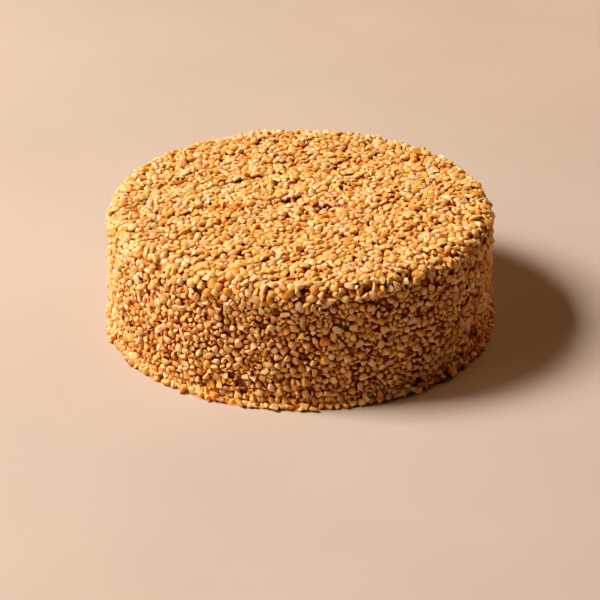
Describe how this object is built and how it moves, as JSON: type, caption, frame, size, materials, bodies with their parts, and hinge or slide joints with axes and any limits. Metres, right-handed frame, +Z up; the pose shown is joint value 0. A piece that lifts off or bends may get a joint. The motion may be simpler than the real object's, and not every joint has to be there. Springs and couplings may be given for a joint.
{
  "type": "peanut cake",
  "caption": "Round straight-sided layer cake coated on its top and wall with chopped roasted peanuts, with a rounded top edge and a row of nuts along its foot.",
  "frame": {"origin": "middle of the flat underside, on the surface that the cake stands on", "axes": "+Z up along the cake's axis, -Y towards the side that the picture shows, +X to the right of that view"},
  "size_m": [0.2159, 0.2162, 0.0713],
  "materials": {
    "roasted_peanut": "chopped roasted peanuts over caramel cream, golden brown, satin with an oily sheen"
  },
  "bodies": {
    "root": {"coated_cake": "roasted_peanut"}
  },
  "joints": []
}
